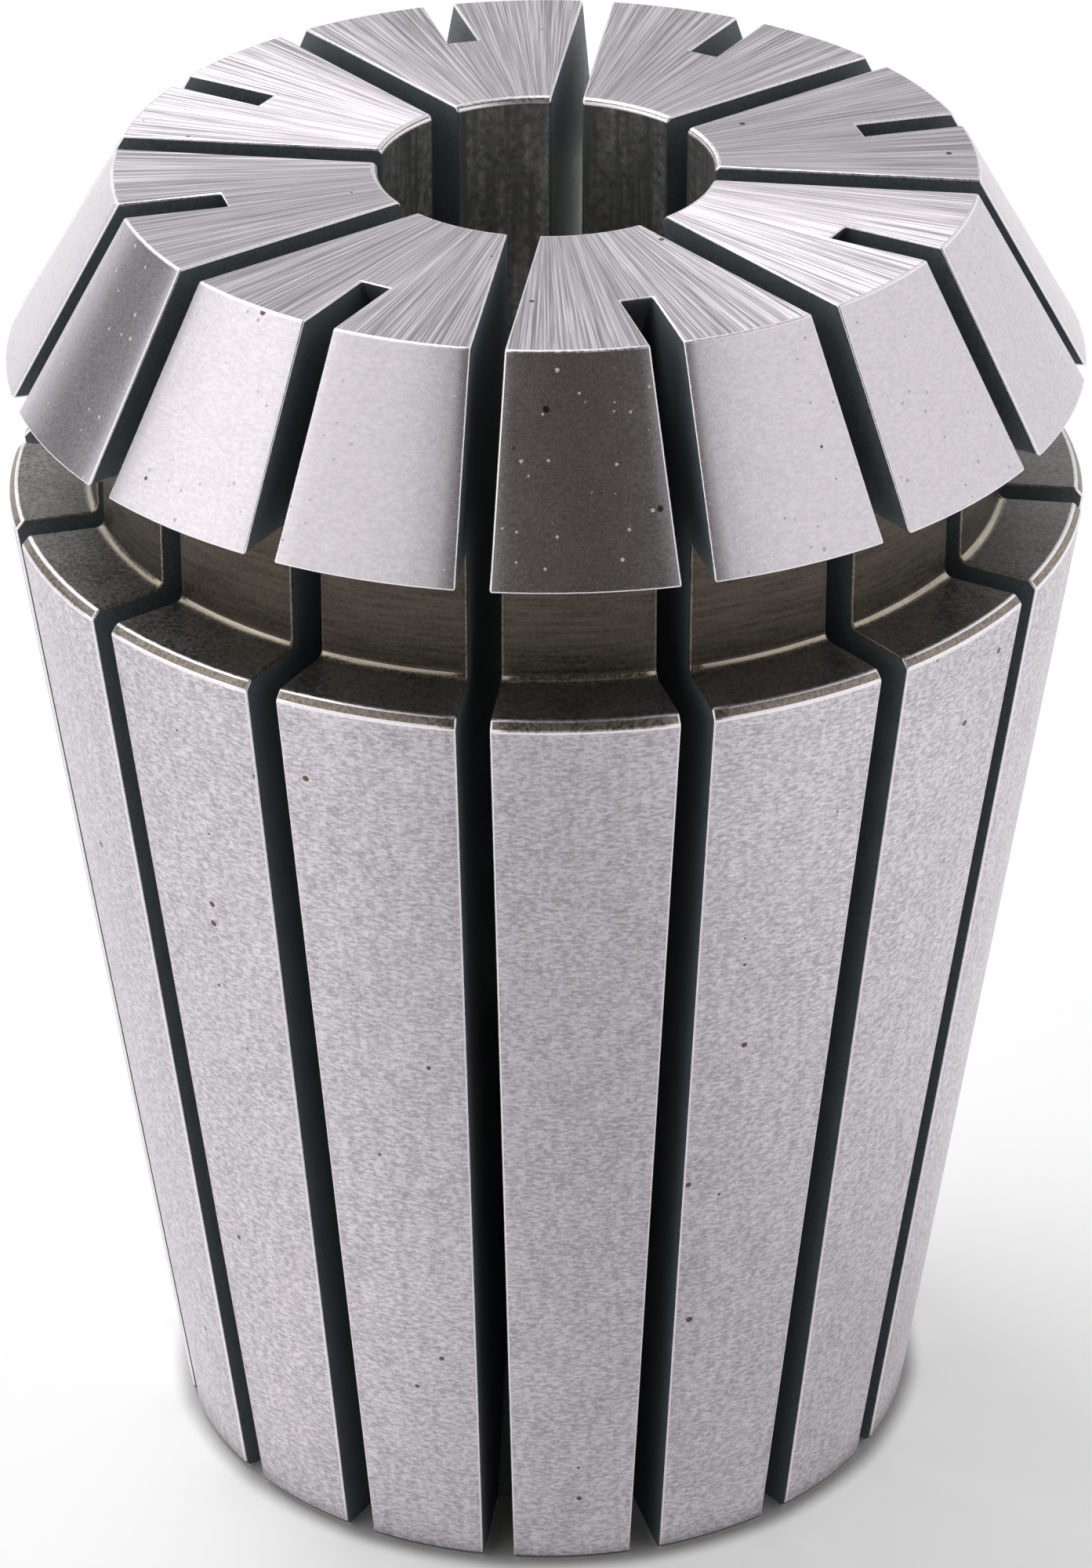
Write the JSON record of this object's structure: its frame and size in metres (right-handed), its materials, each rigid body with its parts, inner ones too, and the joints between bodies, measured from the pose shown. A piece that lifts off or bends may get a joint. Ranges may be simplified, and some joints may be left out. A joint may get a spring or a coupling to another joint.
{
  "type": "er collet",
  "caption": "Slotted steel spring collet: a conical nose above an extraction groove and a long 8 degree taper, with a through bore that clamps a round shank.",
  "frame": {"origin": "centre of the small back face that the collet stands on", "axes": "+Z along the collet's axis, from the back face towards the nose and its front face; -Y through the middle of one of the slots sawn from the front"},
  "size_m": [0.0262, 0.0262, 0.034],
  "materials": {
    "ground_steel": "satin ground steel with fine grinding marks, darker in the groove and slots"
  },
  "bodies": {
    "root": {"collet": "ground_steel"}
  },
  "joints": []
}
